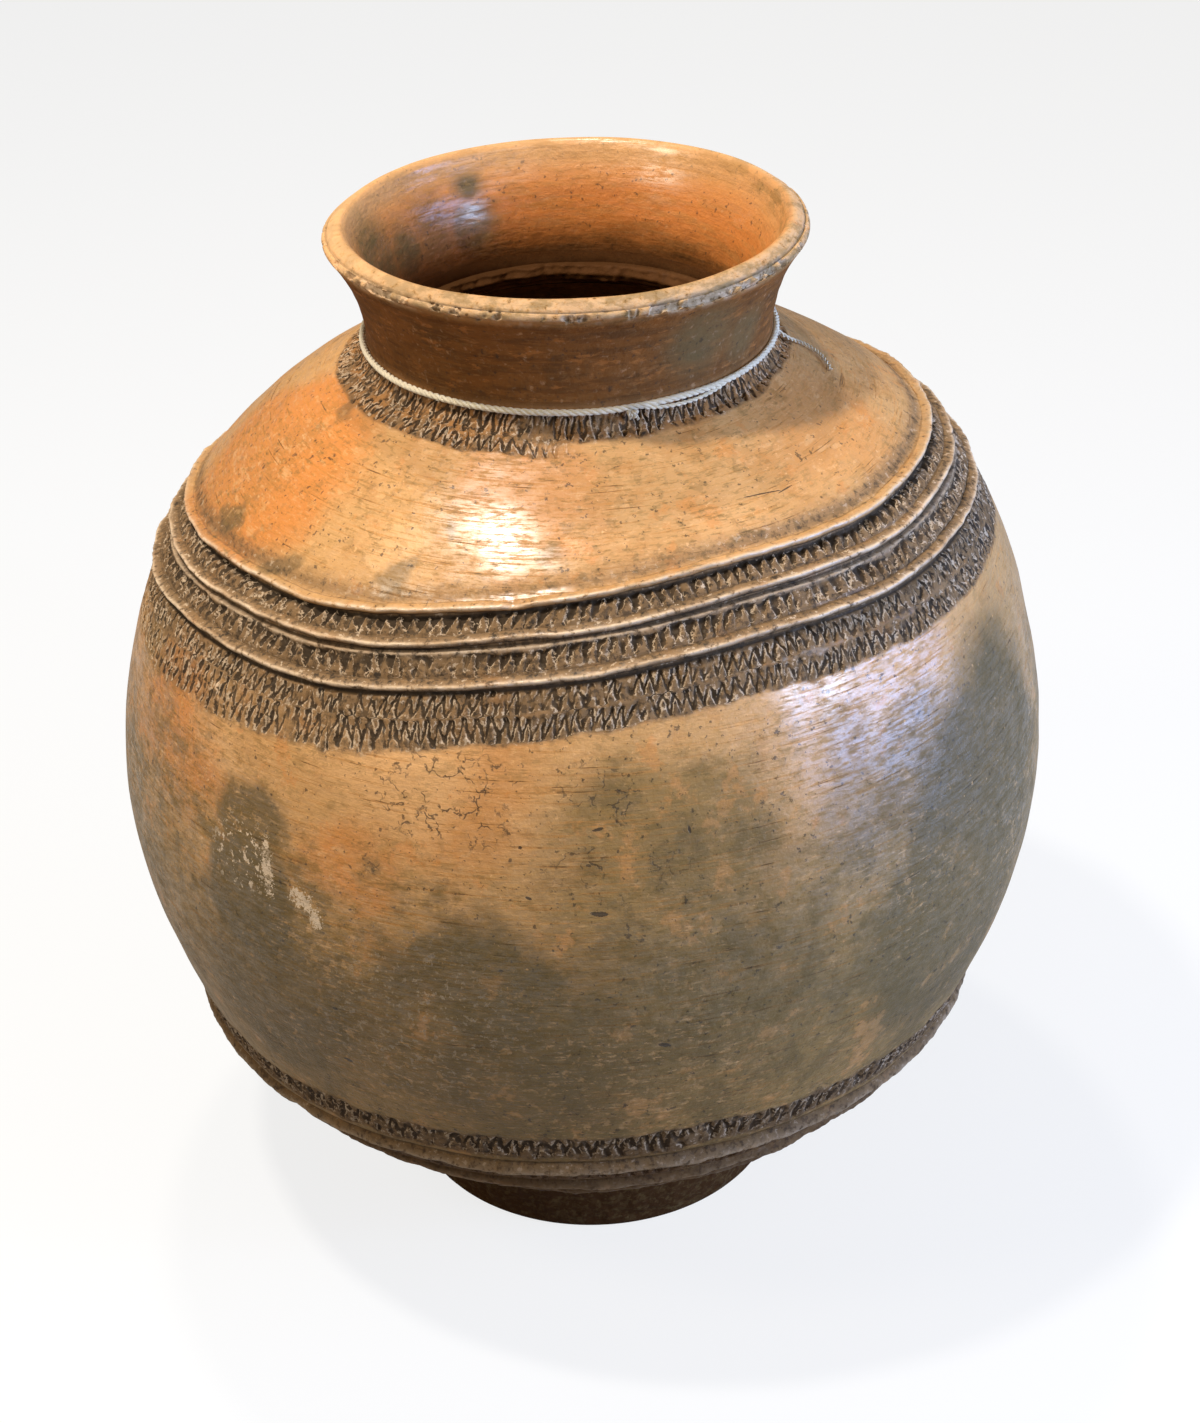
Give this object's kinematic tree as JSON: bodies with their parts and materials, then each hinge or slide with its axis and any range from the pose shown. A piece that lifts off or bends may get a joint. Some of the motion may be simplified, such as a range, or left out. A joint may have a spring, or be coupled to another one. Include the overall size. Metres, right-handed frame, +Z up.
{
  "type": "earthenware water jar",
  "caption": "Large globular burnished earthenware jar on a ring foot, with a flared neck, applied cordons, stamped bands and a twine loop round the base of the neck.",
  "frame": {"origin": "centre of the foot ring on the floor", "axes": "+Z up along the jar's axis, -Y towards the viewer of the picture, +X to the viewer's right"},
  "size_m": [0.4179, 0.418, 0.4716],
  "materials": {
    "clay": "burnished low-fired earthenware, satin, with grey fire clouds",
    "twine": "cream twisted cotton twine"
  },
  "bodies": {
    "jar": {"foot_ring": "clay", "base_dish": "clay", "lower_bowl": "clay", "lower_belly": "clay", "upper_belly": "clay", "shoulder_dome": "clay", "neck_collar": "clay", "lip_coil": "clay", "throat_coil": "clay", "upper_shoulder_cordon": "clay", "middle_shoulder_cordon": "clay", "lower_shoulder_cordon": "clay", "upper_foot_cordon": "clay", "middle_foot_cordon": "clay", "lower_foot_cordon": "clay"},
    "string": {"neck_string": "twine", "string_knot": "twine", "string_tail": "twine"}
  },
  "joints": [
    {"name": "string_turn", "type": "hinge", "parent": "jar", "child": "string", "pos_m": [0, 0, 0.421], "axis": [0, 0, 1], "continuous": true}
  ]
}
